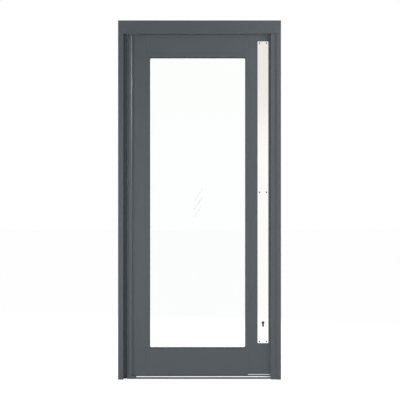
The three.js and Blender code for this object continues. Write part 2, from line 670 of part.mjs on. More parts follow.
// The slim case behind the forend, with the deadbolt that slides through both.
function addLockCase() {
  const { half, wall, play } = CASE;
  const front = LEAF_RIGHT - FOREND.thickness - play;
  const back = CYLINDER_X - CASE.back;
  const bottom = CYLINDER_Z - CASE.below;
  const top = CYLINDER_Z + CASE.above;
  const throughFront = [front - wall - PAST, LEAF_RIGHT + PAST];
  const boltSlot = block(
    [throughFront[0], -BOLT.thickness / 2 - play, BOLT.bottom - play],
    [throughFront[1], BOLT.thickness / 2 + play, BOLT_TOP + play]);
  const screwHoleThrough = crosswise(
    0, CYLINDER_SCREW.z, CYLINDER_SCREW.radius + play, ...throughFront);
  piece(leaf, 'lock_case', cut(
    block([back, -half, bottom], [front, half, top]),
    block([back + wall, -half + wall, bottom + wall], [front - wall, half - wall, top - wall]),
    boltSlot, screwHoleThrough, alongY(cylinderProfile(play), -half - PAST, half + PAST)),
  zincSteel);
  piece(leaf, 'lock_forend', cut(
    block([LEAF_RIGHT - FOREND.thickness, -FOREND.half, FOREND.bottom],
      [LEAF_RIGHT, FOREND.half, FOREND.top]), boltSlot, screwHoleThrough), stainless);

  // The bolt's thin tail reaches back over the cylinder and is notched for the cam's sweep.
  const headStart = LEAF_RIGHT - play - BOLT.head;
  const tailStart = back + 2 * wall;
  const tailHalf = BOLT_TAIL.half;
  const notchTop = CYLINDER_Z + CAM.sweep + PAST;
  piece(leaf, 'deadbolt', cut(join(
    block([headStart, -BOLT.thickness / 2, BOLT.bottom],
      [LEAF_RIGHT - play, BOLT.thickness / 2, BOLT_TOP]),
    block([tailStart, -tailHalf, BOLT_TAIL.bottom], [headStart + PAST, tailHalf, BOLT_TAIL.top])),
  block([CYLINDER_X - BOLT_TAIL.notch, -tailHalf - PAST, BOLT_TAIL.bottom - PAST],
    [CYLINDER_X + PAST, tailHalf + PAST, notchTop])), zincSteel);
}

// The profile cylinder: body, keyed plug outside, thumbturn inside and the cam between them.
function addCylinder() {
  const half = CYLINDER_LENGTH / 2;
  const reach = PROFILE.radius + PAST;
  const { radius } = CYLINDER_SCREW;
  piece(leaf, 'cylinder_body', cut(
    alongY(cylinderProfile(0), -half, half, 12),
    inward(CYLINDER_X, CYLINDER_Z, PLUG.radius + FIT, -half - PAST, half + PAST),
    block([CYLINDER_X - reach, -CAM.slot, CYLINDER_Z - CAM.sweep - PAST],
      [CYLINDER_X + reach, CAM.slot, CYLINDER_Z + reach]),
    crosswise(0, CYLINDER_SCREW.z, radius + CASE.play, CYLINDER_X - reach, CYLINDER_X + reach)),
  darkSteel);
  piece(leaf, 'cylinder_screw', crosswise(0, CYLINDER_SCREW.z, radius,
    CYLINDER_X - CYLINDER_SCREW.past, LEAF_RIGHT - CASE.play), zincSteel);

  const at = [CYLINDER_X, 0, CYLINDER_Z];
  const plugEnd = CAM.slot + FIT;
  piece(leaf, 'cylinder_plug', cut(
    inward(0, 0, PLUG.radius, PLUG.recess - half, -plugEnd),
    block([-PLUG.keyWidth / 2, -half, PLUG.keyBottom],
      [PLUG.keyWidth / 2, -plugEnd - PLUG.keyHeight / 2, PLUG.keyBottom + PLUG.keyHeight])),
  darkSteel, at);
  piece(leaf, 'cylinder_cam', join(
    inward(0, 0, CAM.radius, -CAM.half, CAM.half),
    block([-CAM.width / 2, -CAM.half, -CAM.tip], [CAM.width / 2, CAM.half, 0])), zincSteel, at);

  const { radius: wide, neck, flare, length, edge } = TURN;
  const knob = turned([
    [0, plugEnd], [PLUG.radius, plugEnd], [PLUG.radius, half + neck],
    [wide, half + neck + flare], [wide, half + length - edge], [wide - edge, half + length],
    [0, half + length],
  ], 24);
  const gripStart = half + neck + flare + edge;
  const flats = [-1, 1].map((side) => {
    const [near, far] = [TURN.thickness / 2, wide + PAST].map((x) => side * x);
    return block([Math.min(near, far), gripStart, -wide - PAST],
      [Math.max(near, far), half + length + PAST, wide + PAST]);
  });
  piece(leaf, 'thumbturn', cut(knob, ...flats), stainless, at);
}

function addBrushes() {
  for (const name of ['bottom', 'top', 'edge']) {
    piece(leaf, `${name}_brush`, brushBar(name, 0), brushPile);
  }
}

addHead();
addHingeJamb();
addLockJamb();
addThreshold();
addBottomPivot();
addCloser();
addPivotTube();
addStilesAndRails();
addGlazing();
addPushPlates();
addLockCase();
addCylinder();
addBrushes();

export default door;
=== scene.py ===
"""Looks for a glazed entrance door in its frame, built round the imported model."""
import json
import math
import random

import bmesh
import bpy
from mathutils import Matrix, Vector


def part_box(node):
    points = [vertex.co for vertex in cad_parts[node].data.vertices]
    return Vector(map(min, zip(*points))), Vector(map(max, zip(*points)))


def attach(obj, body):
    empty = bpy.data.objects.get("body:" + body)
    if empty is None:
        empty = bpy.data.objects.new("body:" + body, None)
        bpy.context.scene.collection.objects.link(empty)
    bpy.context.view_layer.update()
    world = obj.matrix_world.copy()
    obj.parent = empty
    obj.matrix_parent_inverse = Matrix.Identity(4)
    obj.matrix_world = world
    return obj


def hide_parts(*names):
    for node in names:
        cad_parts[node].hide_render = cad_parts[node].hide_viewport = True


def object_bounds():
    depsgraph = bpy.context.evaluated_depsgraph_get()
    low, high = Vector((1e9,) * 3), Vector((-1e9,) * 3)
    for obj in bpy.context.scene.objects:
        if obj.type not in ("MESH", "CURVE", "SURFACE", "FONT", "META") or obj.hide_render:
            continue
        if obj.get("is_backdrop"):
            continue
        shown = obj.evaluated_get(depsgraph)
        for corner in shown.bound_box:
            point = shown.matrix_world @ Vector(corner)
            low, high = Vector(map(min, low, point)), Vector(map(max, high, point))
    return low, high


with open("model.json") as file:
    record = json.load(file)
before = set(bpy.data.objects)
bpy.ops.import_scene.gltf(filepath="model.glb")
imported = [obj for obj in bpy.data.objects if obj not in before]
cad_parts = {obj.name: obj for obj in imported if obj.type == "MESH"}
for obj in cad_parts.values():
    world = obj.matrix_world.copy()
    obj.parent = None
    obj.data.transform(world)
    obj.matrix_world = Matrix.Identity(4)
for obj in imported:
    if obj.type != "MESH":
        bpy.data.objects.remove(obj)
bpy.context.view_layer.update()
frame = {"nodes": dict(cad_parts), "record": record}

bl_info = {
    "name": "Glazed entrance door",
    "version": (1, 0, 0),
    "blender": (4, 5, 0),
    "location": "3D View > Sidebar > Door",
    "description": "Finishes, seals, plates, screws and glass of a glazed entrance door",
    "category": "Object",
}

BODY_OF = {
    node: body
    for body, nodes in frame["record"]["behaviour"]["bodies"].items()
    for node in nodes
}
MM = 0.001
WELD = 0.001 * MM  # corners nearer than this are joined
SAME_LEVEL = 1e-6  # metres between heights that count as one
FLAT = math.radians(0.5)  # faces that meet at less than this lie in one plane
SQUARE = 1.0  # and at more than this, in radians, they meet at a corner that is rounded
NOISE_LOW, NOISE_HIGH = 0.3, 0.7  # nearly all of a noise's values lie between these

FRAME_PROFILES = {"frame_head": "X", "hinge_jamb": "Z", "lock_jamb": "Z"}
LEAF_PROFILES = {
    "hinge_stile": "Z", "lock_stile": "Z", "top_rail": "X", "bottom_rail": "X",
    "bead_hinge_side": "Z", "bead_lock_side": "Z", "bead_top": "X", "bead_bottom": "X",
}
TUFTS_IN_A_RUN = 16
AXES = {"X": Vector((1, 0, 0)), "Z": Vector((0, 0, 1))}


# ---------------- sizes and colours


class DoorFinishes(bpy.types.PropertyGroup):
    """Colours and textures of the door's finishes"""

    frame_coat: bpy.props.FloatVectorProperty(
        name="Frame coat", description="Colour of the frame's powder coat",
        subtype="COLOR", size=3, min=0, max=1, default=(0.068, 0.0765, 0.086))
    leaf_coat: bpy.props.FloatVectorProperty(
        name="Leaf coat", description="Colour of the leaf's powder coat",
        subtype="COLOR", size=3, min=0, max=1, default=(0.0647, 0.0765, 0.0837))
    coat_roughness: bpy.props.FloatProperty(
        name="Coat roughness", description="Roughness of the powder coat",
        subtype="FACTOR", min=0, max=1, default=0.42)
    plate_steel: bpy.props.FloatVectorProperty(
        name="Push plate", description="Colour of the brushed push plates",
        subtype="COLOR", size=3, min=0, max=1, default=(0.99, 0.985, 0.975))
    # The bright colour of the threshold's nose, which paints a highlight on the bevel.
    aluminium: bpy.props.FloatVectorProperty(
        name="Aluminium", description="Colour of the worn tread of the threshold",
        subtype="COLOR", size=3, min=0, max=1, default=(0.96, 0.97, 0.99))
    guard_rubber: bpy.props.FloatVectorProperty(
        name="Finger guard", description="Colour of the finger guard's rubber",
        subtype="COLOR", size=3, min=0, max=1, default=(0.035, 0.036, 0.04))
    seal_rubber: bpy.props.FloatVectorProperty(
        name="Glazing seal", description="Colour of the glazing seals",
        subtype="COLOR", size=3, min=0, max=1, default=(0.055, 0.056, 0.054))


class DoorShapes(bpy.types.PropertyGroup):
    """Small sizes of the door's edges, screws and brushes"""

    profile_edge: bpy.props.FloatProperty(
        name="Profile edge", description="Radius of the extrusions' long edges",
        subtype="DISTANCE", unit="LENGTH", min=0, max=0.002, default=0.0006)
    plate_edge: bpy.props.FloatProperty(
        name="Plate edge", description="Radius round the push plates' outer faces",
        subtype="DISTANCE", unit="LENGTH", min=0, max=0.0012, default=0.0006)
    tube_web: bpy.props.FloatProperty(
        name="Tube web", description="Width of the web between pivot tube and stile",
        subtype="DISTANCE", unit="LENGTH", min=0.005, max=0.03, default=0.018)
    tube_bore: bpy.props.FloatProperty(
        name="Tube bore", description="Radius of the pivot tube's bore",
        subtype="DISTANCE", unit="LENGTH", min=0.005, max=0.018, default=0.016)
    tread_groove: bpy.props.FloatProperty(
        name="Tread groove", description="Width of a groove in the threshold's tread",
        subtype="DISTANCE", unit="LENGTH", min=0.0005, max=0.003, default=0.0016)
    recess_reach: bpy.props.FloatProperty(
        name="Screw recess", description="Reach of a screw's cross recess from its middle",
        subtype="DISTANCE", unit="LENGTH", min=0.001, max=0.003, default=0.0021)
    hair_pitch: bpy.props.FloatProperty(
        name="Brush pitch", description="Distance between the brush seals' tufts",
        subtype="DISTANCE", unit="LENGTH", min=0.0008, max=0.004, default=0.0013)
    hair_past: bpy.props.FloatProperty(
        name="Hair past bar", description="Reach of the closing edge's hairs past their bar",
        subtype="DISTANCE", unit="LENGTH", min=0, max=0.0023, default=0.0012)


class DoorStage(bpy.types.PropertyGroup):
    """Camera and lights round the door"""

    view_distance: bpy.props.FloatProperty(
        name="View distance", description="Camera's distance from the frame's outer face",
        subtype="DISTANCE", unit="LENGTH", min=2, max=20, default=6.0)
    view_offset: bpy.props.FloatProperty(
        name="View offset", description="Camera's place to the right of the middle",
        subtype="DISTANCE", unit="LENGTH", min=-1, max=1, default=0.0029)
    lens: bpy.props.FloatProperty(
        name="Lens", description="Camera's focal length in millimetres",
        min=20, max=200, default=88.0)
    room_light: bpy.props.FloatProperty(
        name="Room light", description="Strength of the even light from all round",
        min=0, max=2, default=0.22)
    key_light: bpy.props.FloatProperty(
        name="Key light", description="Power of the large soft light in front, at the left",
        subtype="POWER", unit="POWER", min=0, max=500, default=68.0)
    fill_light: bpy.props.FloatProperty(
        name="Fill light", description="Power of the soft light in front, at the right",
        subtype="POWER", unit="POWER", min=0, max=500, default=25.0)
    side_light: bpy.props.FloatProperty(
        name="Side light", description="Power of the soft light at the upper right",
        subtype="POWER", unit="POWER", min=0, max=500, default=13.5)
    glint_light: bpy.props.FloatProperty(
        name="Glint light", description="Power of the light that only glints on curved metal",
        subtype="POWER", unit="POWER", min=0, max=500, default=80.0)
    back_light: bpy.props.FloatProperty(
        name="Back light", description="Power of the large soft light behind the door",
        subtype="POWER", unit="POWER", min=0, max=500, default=90.0)


# ---------------- finishes


def new_finish(name, colour, roughness, metallic=0.0):
    """A material whose steady values sit on its surface shader."""
    finish = bpy.data.materials.new(name)
    finish.use_nodes = True
    finish.diffuse_color = (*colour, 1)
    surface = finish.node_tree.nodes["Principled BSDF"]
    surface.inputs["Base Color"].default_value = (*colour, 1)
    surface.inputs["Roughness"].default_value = roughness
    surface.inputs["Metallic"].default_value = metallic
    return finish, finish.node_tree, surface


def add_node(tree, kind, output, inputs=None, **settings):
    """Adds a node, sets its inputs or links them to other nodes, and gives an output of it."""
    node = tree.nodes.new(f"ShaderNode{kind}")
    for name, value in settings.items():
        setattr(node, name, value)
    for name, value in (inputs or {}).items():
        if isinstance(value, bpy.types.NodeSocket):
            tree.links.new(value, node.inputs[name])
        else:
            node.inputs[name].default_value = value
    return node.outputs[output]


def mix_shaders(tree, share, first, second):
    """The first shader, with a share of the second."""
    return add_node(tree, "MixShader", "Shader", {"Fac": share, 1: first, 2: second})


def any_ray(tree, *kinds):
    """1 where the ray is of one of these kinds, as the light path names them."""
    paths = tree.nodes.new("ShaderNodeLightPath")
    found = paths.outputs[kinds[0]]
    for kind in kinds[1:]:
        found = add_node(
            tree, "Math", "Value", {0: found, 1: paths.outputs[kind]}, operation="MAXIMUM")
    return found


def grain(tree, size, stretch=(1, 1, 1), detail=2.0):
    """Noise in the piece's own space with spots about `size` metres across."""
    place = add_node(tree, "TexCoord", "Object")
    drawn = add_node(tree, "Mapping", "Vector", {"Vector": place, "Scale": stretch})
    return add_node(
        tree, "TexNoise", "Fac", {"Vector": drawn, "Scale": 1 / size, "Detail": detail})


def vary_colour(tree, surface, driver, dark, light):
    """Drives the surface's colour between two shades."""
    shades = tree.nodes.new("ShaderNodeValToRGB")
    ends = ((NOISE_LOW, dark), (NOISE_HIGH, light))
    for end, (position, colour) in zip(shades.color_ramp.elements, ends):
        end.position = position
        end.color = (*colour, 1)
    tree.links.new(driver, shades.inputs["Fac"])
    tree.links.new(shades.outputs["Color"], surface.inputs["Base Color"])


def vary_roughness(tree, surface, driver, low, high):
    """Drives the surface's roughness between two values."""
    span = add_node(tree, "MapRange", "Result", {
        "Value": driver, "From Min": NOISE_LOW, "From Max": NOISE_HIGH,
        "To Min": low, "To Max": high})
    tree.links.new(span, surface.inputs["Roughness"])


def raise_texture(tree, surface, driver, height, strength):
    """Gives the surface a fine relief."""
    relief = add_node(
        tree, "Bump", "Normal", {"Height": driver, "Distance": height, "Strength": strength})
    tree.links.new(relief, surface.inputs["Normal"])


def shade(colour, by):
    """A colour made lighter or darker."""
    return tuple(min(1.0, part * by) for part in colour)


def powder_coat(name, colour, roughness, bloom=0.0):
    """Satin powder coat: faint cloudiness, fine orange peel, and a bloom on curved sides."""
    finish, tree, surface = new_finish(name, colour, roughness)
    surface.inputs["Specular IOR Level"].default_value = 0.4
    surface.inputs["Diffuse Roughness"].default_value = 1.0
    surface.inputs["Sheen Weight"].default_value = bloom
    surface.inputs["Sheen Roughness"].default_value = 0.3
    vary_colour(tree, surface, grain(tree, 350 * MM), shade(colour, 0.985), shade(colour, 1.015))
    vary_roughness(tree, surface, grain(tree, 50 * MM), roughness - 0.03, roughness + 0.03)
    raise_texture(tree, surface, grain(tree, 1.1 * MM, detail=1), 0.03 * MM, 0.25)
    return finish


def brushed_metal(name, colour, roughness, along, spread=0.04):
    """Metal rubbed along one axis: fine scratches, long drawn."""
    finish, tree, surface = new_finish(name, colour, roughness, 1.0)
    stretch = tuple(0.02 if axis == along else 1.0 for axis in "XYZ")
    scratches = grain(tree, 0.6 * MM, stretch, 3)
    vary_colour(tree, surface, scratches, shade(colour, 0.985), shade(colour, 1.01))
    vary_roughness(tree, surface, scratches, roughness - spread, roughness + spread)
    raise_texture(tree, surface, scratches, 0.01 * MM, 0.15)
    return finish


def matt_rubber(name, colour):
    """Extruded rubber with a dusty bloom."""
    finish, tree, surface = new_finish(name, colour, 0.75)
    surface.inputs["Specular IOR Level"].default_value = 0.25
    bloom = grain(tree, 20 * MM, detail=4)
    vary_colour(tree, surface, bloom, shade(colour, 0.93), shade(colour, 1.07))
    vary_roughness(tree, surface, bloom, 0.68, 0.82)
    raise_texture(tree, surface, grain(tree, 0.4 * MM, (1, 1, 0.1)), 0.04 * MM, 0.3)
    return finish


def plated_steel(name, colour, roughness):
    """Plated or blackened steel with a cloudy tone."""
    finish, tree, surface = new_finish(name, colour, roughness, 1.0)
    cloud = grain(tree, 4 * MM, detail=5)
    vary_colour(tree, surface, cloud, shade(colour, 0.88), shade(colour, 1.1))
    vary_roughness(tree, surface, cloud, roughness - 0.08, roughness + 0.08)
    raise_texture(tree, surface, grain(tree, 0.5 * MM), 0.02 * MM, 0.2)
    return finish


def moulded_plastic(name, colour):
    """Moulded plastic with a fine spark texture."""
    finish, tree, surface = new_finish(name, colour, 0.5)
    vary_colour(tree, surface, grain(tree, 10 * MM), shade(colour, 0.94), shade(colour, 1.06))
    raise_texture(tree, surface, grain(tree, 0.4 * MM, detail=3), 0.04 * MM, 0.35)
    return finish


def brush_hair(name, colour):
    """Dull hair whose tone differs from tuft to tuft."""
    finish, tree, surface = new_finish(name, colour, 0.9)
    surface.inputs["Specular IOR Level"].default_value = 0.2
    tufts = grain(tree, 2 * MM, detail=3)
    vary_colour(tree, surface, tufts, shade(colour, 0.7), shade(colour, 1.3))
    return finish


def clear_glass(name, colour):
    """Float glass with the faintest waviness."""
    finish, tree, surface = new_finish(name, colour, 0.0)
    surface.inputs["Transmission Weight"].default_value = 1.0
    surface.inputs["IOR"].default_value = 1.45
    vary_colour(tree, surface, grain(tree, 600 * MM), shade(colour, 0.998), colour)
    raise_texture(tree, surface, grain(tree, 250 * MM, detail=0), 0.1 * MM, 0.02)
    return finish


def painted_glint_finish(name, colour, cover):
    """A painted glint mark: a faint grey, partly see-through layer that stands in for a
    reflection on the glass.
    """
    finish, tree, surface = new_finish(name, colour, 0.8)
    surface.inputs["Specular IOR Level"].default_value = 0.2
    surface.inputs["Alpha"].default_value = cover
    vary_colour(tree, surface, grain(tree, 4 * MM), shade(colour, 0.95), shade(colour, 1.05))
    return finish


def nose_highlight_metal(name, colour, dull, nose_foot, nose_top):
    """Aluminium with a painted highlight: its base colour is bright on the bevelled nose, between
    two heights, and the dull tone elsewhere.
    """
    finish = brushed_metal(name, colour, 0.34, "X", 0.05)
    tree = finish.node_tree
    surface = tree.nodes["Principled BSDF"]
    place = add_node(tree, "TexCoord", "Object")
    height = add_node(tree, "SeparateXYZ", "Z", {"Vector": place})
    soft = 0.3 * MM
    metal = surface.inputs["Base Color"].links[0].from_socket
    # Painted highlight: the bright colour only between nose_foot and nose_top, the dull tone
    # below and above.
    for level, under, over in ((nose_foot, dull, None), (nose_top, None, dull)):
        past = add_node(
            tree, "MapRange", "Result",
            {"Value": height, "From Min": level - soft, "From Max": level + soft},
            interpolation_type="SMOOTHSTEP")
        shades = {"A": (*under, 1) if under else metal, "B": (*over, 1) if over else metal}
        metal = add_node(tree, "Mix", "Result", {"Factor": past, **shades}, data_type="RGBA")
    tree.links.new(metal, surface.inputs["Base Color"])
    return finish


FINISHES = {}


def make_finishes(colours):
    """Every finish of the door, by its name."""
    FINISHES.update({
        "frame_coat": powder_coat(
            "frame_powder_coat", tuple(colours.frame_coat), colours.coat_roughness),
        "leaf_coat": powder_coat(
            "leaf_powder_coat", tuple(colours.leaf_coat), colours.coat_roughness),
        "tube_coat": powder_coat("tube_powder_coat", tuple(colours.leaf_coat), 0.34, 1.0),
        "guard_rubber": matt_rubber("finger_guard_rubber", tuple(colours.guard_rubber)),
        "seal_rubber": matt_rubber("glazing_seal_rubber", tuple(colours.seal_rubber)),
        "stainless": brushed_metal(
            "plate_brushed_steel", tuple(colours.plate_steel), 0.12, "Z", 0.03),
        "satin_steel": brushed_metal("satin_steel", (0.62, 0.61, 0.59), 0.3, "Z"),
        # The threshold, with a painted highlight on its bevelled nose.
        "mill_aluminium": nose_highlight_metal(
            "threshold_painted_nose_highlight", tuple(colours.aluminium), (0.158, 0.16, 0.167),
            12.75 * MM, 16.65 * MM),
        "strip_aluminium": brushed_metal("strip_aluminium", (0.68, 0.68, 0.68), 0.36, "X"),
        "dark_steel": plated_steel("blackened_steel", (0.07, 0.07, 0.072), 0.4),
        "zinc_steel": plated_steel("zinc_plated_steel", (0.5, 0.51, 0.53), 0.36),
        "black_plastic": moulded_plastic("black_moulded_plastic", (0.02, 0.02, 0.022)),
        "brush_pile": brush_hair("brush_pile", (0.11, 0.11, 0.113)),
        "clear_glass": clear_glass("float_glass", (0.99, 1.0, 0.995)),
        # Painted reflection: faint grey strokes standing in for glints on the outer pane.
        "painted_glint_mark": painted_glint_finish("painted_glint_mark", (0.5, 0.51, 0.52), 0.16),
    })


# ---------------- shapes


def middle(node):
    """The middle of a node's box."""
    low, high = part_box(node)
    return (low + high) / 2


def verts_in(parts):
    """The vertices among what an operator returns."""
    return [part for part in parts if isinstance(part, bmesh.types.BMVert)]


def everything(shape):
    """Every corner, edge and face of a shape."""
    return shape.verts[:] + shape.edges[:] + shape.faces[:]


def weld(shape):
    """Joins corners that lie on each other."""
    bmesh.ops.remove_doubles(shape, verts=shape.verts, dist=WELD)


def join_flats(shape):
    """Makes one face of neighbours that lie in one plane."""
    bmesh.ops.dissolve_limit(shape, angle_limit=FLAT, verts=shape.verts, edges=shape.edges)


def settle(shape):
    """Sorts the parts of a shape by place, because an extrusion's come in any order."""
    weights = Vector((1, math.e, math.pi))
    for parts in (shape.verts, shape.edges, shape.faces):
        parts.sort(key=lambda part: sum(
            corner.co.dot(weights) for corner in getattr(part, "verts", [part])))


def face_out(shape):
    """Points every face outwards."""
    bmesh.ops.recalc_face_normals(shape, faces=shape.faces)


def bevel(shape, geom, radius, steps, affect="EDGES", **how):
    """Rounds edges, or the corners of a flat outline."""
    bmesh.ops.bevel(
        shape, geom=geom, offset=radius, offset_type="OFFSET", segments=steps,
        profile=0.5, affect=affect, material=-1, **how)


def raise_faces(shape, faces, by):
    """Draws faces out of where they lie, leaving the old ones behind."""
    raised = bmesh.ops.extrude_face_region(shape, geom=faces)
    bmesh.ops.translate(shape, verts=verts_in(raised["geom"]), vec=by)


def extrude_edges(shape, edges):
    """Draws walls from edges and returns the new vertices, still in place."""
    return verts_in(bmesh.ops.extrude_edge_only(shape, edges=edges)["geom"])


def edges_between(shape, verts):
    """Edges whose two ends are both among the vertices."""
    chosen = set(verts)
    return [edge for edge in shape.edges if chosen.issuperset(edge.verts)]


def closed_loop(shape, corners):
    """Edges from each corner to the next and back to the first."""
    return [shape.edges.new(pair) for pair in zip(corners, corners[1:] + corners[:1])]


def add_block(shape, size, centre):
    """Adds a rectangular block to a shape."""
    corners = bmesh.ops.create_cube(shape, size=1)["verts"]
    bmesh.ops.scale(shape, verts=corners, vec=size)
    bmesh.ops.translate(shape, verts=corners, vec=centre)


def pour(source, target):
    """Adds one shape to another and frees the first."""
    carrier = bpy.data.meshes.new("carrier")
    source.to_mesh(carrier)
    source.free()
    target.from_mesh(carrier)
    bpy.data.meshes.remove(carrier)


def merged(node):
    """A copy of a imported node's mesh with its corners joined and its flats made whole."""
    shape = bmesh.new()
    shape.from_mesh(frame["nodes"][node].data)
    weld(shape)
    join_flats(shape)
    return shape


def ease_edges(shape, radius, along=None, steps=2, shortest=4 * MM, sharper=28):
    """Rounds the outer edges, or only those that run along one axis."""
    parallel = 0.99
    edges = []
    for edge in shape.edges:
        if not (edge.is_manifold and edge.is_convex) or edge.calc_length() < shortest:
            continue
        if edge.calc_face_angle() < math.radians(sharper):
            continue
        run = (edge.verts[1].co - edge.verts[0].co).normalized()
        if along is None or abs(run.dot(AXES[along])) > parallel:
            edges.append(edge)
    bevel(shape, edges, radius, steps, clamp_overlap=True)


def in_scene(name, data):
    """A new object in the scene, at the origin."""
    thing = bpy.data.objects.new(name, data)
    bpy.context.scene.collection.objects.link(thing)
    return thing


def add_piece(name, shape, finish, body, replaced=(), slot=None, crease=38):
    """Puts a finished shape in the scene, riding on its body."""
    slot = slot or finish
    mesh = bpy.data.meshes.new(name)
    shape.to_mesh(mesh)
    shape.free()
    leftover = mesh.attributes.get("custom_normal")
    if leftover:
        mesh.attributes.remove(leftover)
    mesh.shade_smooth()
    mesh.set_sharp_from_angle(angle=math.radians(crease))
    mesh.materials.clear()
    mesh.materials.append(FINISHES[finish])
    piece = in_scene(name, mesh)
    even = piece.modifiers.new("even_shading", "WEIGHTED_NORMAL")
    even.keep_sharp = True
    even.weight = 60
    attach(piece, body)
    if replaced:
        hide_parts(*replaced)


def add_eased(node, radius, slot, along=None, finish=None, **how):
    """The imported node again, with its edges eased."""
    shape = merged(node)
    ease_edges(shape, radius, along, **how)
    add_piece(f"{node}_eased", shape, finish or slot, BODY_OF[node], [node], slot)


def coat_packed(node, slot):
    """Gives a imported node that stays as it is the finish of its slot."""
    piece = frame["nodes"][node]
    if not piece.material_slots:
        piece.data.materials.append(None)
    for place in piece.material_slots:
        place.material = FINISHES[slot]


def ring(shape, centre, radius, sides, level=False):
    """A closed loop of edges round `centre`, upright like the door or level."""
    turn = Matrix.Identity(4) if level else Matrix.Rotation(math.pi / 2, 4, "X")
    bmesh.ops.create_circle(
        shape, cap_ends=False, radius=radius, segments=sides,
        matrix=Matrix.Translation(centre) @ turn)


def corner_panel(shape, low, high, depth, radius):
    """The edges of an upright rectangle with rounded corners, at one depth."""
    corners = [shape.verts.new((x, depth, z)) for x, z in (
        (low.x, low.z), (high.x, low.z), (high.x, high.z), (low.x, high.z))]
    shape.faces.new(corners)
    bevel(shape, corners, radius, 8, "VERTICES")
    bmesh.ops.delete(shape, geom=list(shape.faces), context="FACES_ONLY")


def arc(shape, start, centre, angle, steps, axis=(0, -1, 0)):
    """Draws an arc of edges from a vertex and returns the vertex at its end."""
    turned = bmesh.ops.spin(
        shape, geom=[start], cent=centre, axis=axis, angle=angle, steps=steps,
        use_merge=False, use_duplicate=False)
    return verts_in(turned["geom_last"])[0]


def cylinder_outline(shape, axis, depth, radius, stem, drop):
    """A profile cylinder's outline: a round barrel, and a stem of half width `stem` below it."""
    x, z = axis.x, axis.z
    shoulder = math.asin(stem / radius)
    below = z - math.cos(shoulder) * radius
    foot = z - drop
    start = shape.verts.new((x + stem, depth, below))
    end = arc(shape, start, (x, depth, z), 2 * (math.pi - shoulder), 32)
    left = shape.verts.new((x - stem, depth, foot))
    shape.edges.new((end, left))
    right = arc(shape, left, (x, depth, foot), math.pi, 12)
    shape.edges.new((right, start))


def fill_and_raise(shape, depth):
    """Fills every closed outline, holes left open, and gives it thickness."""
    weld(shape)
    bmesh.ops.triangle_fill(shape, use_beauty=True, use_dissolve=False, edges=list(shape.edges))
    raise_faces(shape, list(shape.faces), depth)
    face_out(shape)


def outer_rim(shape, depth, keep):
    """Edges at one depth, where `keep` accepts the middle of the edge."""
    rim = []
    for edge in shape.edges:
        at = (edge.verts[0].co + edge.verts[1].co) / 2
        level = all(abs(vert.co.y - depth) < SAME_LEVEL for vert in edge.verts)
        if level and edge.is_manifold and edge.calc_face_angle() > SQUARE and keep(at):
            rim.append(edge)
    return rim


def screw_head(radius, reach, depth):
    """A countersunk head with a cross recess, facing -Y, its face at the origin."""
    shape = bmesh.new()
    edge_height = 0.25 * MM
    ring(shape, (0, 0, 0), radius - edge_height, 40)
    arm = reach * 0.27
    sunk_depth, sunk_scale = depth * 0.6, 0.55
    cross = [(arm, reach), (-arm, reach), (-arm, arm), (-reach, arm), (-reach, -arm),
             (-arm, -arm), (-arm, -reach), (arm, -reach), (arm, -arm), (reach, -arm),
             (reach, arm), (arm, arm)]
    loop = closed_loop(shape, [shape.verts.new((x, 0, z)) for x, z in cross])
    round_edges = [edge for edge in shape.edges if edge not in loop]
    bmesh.ops.triangle_fill(shape, use_beauty=True, edges=list(shape.edges))

    sunk = extrude_edges(shape, loop)
    bmesh.ops.translate(shape, verts=sunk, vec=(0, sunk_depth, 0))
    bmesh.ops.scale(shape, verts=sunk, vec=(sunk_scale, 1, sunk_scale))
    bmesh.ops.contextual_create(shape, geom=edges_between(shape, sunk))

    for shrink, step in ((radius, edge_height), (radius, edge_height), (radius * 0.5, depth)):
        ringed = extrude_edges(shape, round_edges)
        now = max(math.hypot(vert.co.x, vert.co.z) for vert in ringed)
        bmesh.ops.scale(shape, verts=ringed, vec=(shrink / now, 1, shrink / now))
        bmesh.ops.translate(shape, verts=ringed, vec=(0, step, 0))
        round_edges = edges_between(shape, ringed)
    bmesh.ops.contextual_create(shape, geom=round_edges)
    face_out(shape)
    return shape


# ---------------- operators


class DoorOperator:
    """What every operator here shares"""

    bl_options = {"REGISTER", "UNDO"}

    @classmethod
    def shapes(cls, context):
        return context.scene.door_shapes


class DOOR_OT_finishes(DoorOperator, bpy.types.Operator):
    """Mix the door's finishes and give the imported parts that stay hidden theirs"""

    bl_idname = "door.finishes"
    bl_label = "Finishes"

    def execute(self, context):
        make_finishes(context.scene.door_finishes)
        hidden = {
            "zinc_steel": (
                "closer_body", "lock_case", "cylinder_cam", "cylinder_screw",
                "closer_spindle", "bottom_pivot_pin", "top_bush"),
            "black_plastic": (
                "bottom_bush", "glass_spacer", "setting_block_1", "setting_block_2"),
        }
        for finish, nodes in hidden.items():
            for node in nodes:
                coat_packed(node, finish)
        return {"FINISHED"}


class DOOR_OT_frame(DoorOperator, bpy.types.Operator):
    """Finish the frame's head, end caps and jambs"""

    bl_idname = "door.frame"
    bl_label = "Frame"

    def execute(self, context):
        edge = self.shapes(context).profile_edge
        for node, along in FRAME_PROFILES.items():
            add_eased(node, edge, "frame_coat", along)
        for node in ("head_cap_left", "head_cap_right"):
            add_eased(node, 0.4 * MM, "frame_coat", steps=1)
        return {"FINISHED"}


class DOOR_OT_leaf(DoorOperator, bpy.types.Operator):
    """Finish the leaf's stiles, rails and glazing beads"""

    bl_idname = "door.leaf"
    bl_label = "Leaf"

    def execute(self, context):
        edge = self.shapes(context).profile_edge
        for node, along in LEAF_PROFILES.items():
            add_eased(node, edge, "leaf_coat", along)
        return {"FINISHED"}


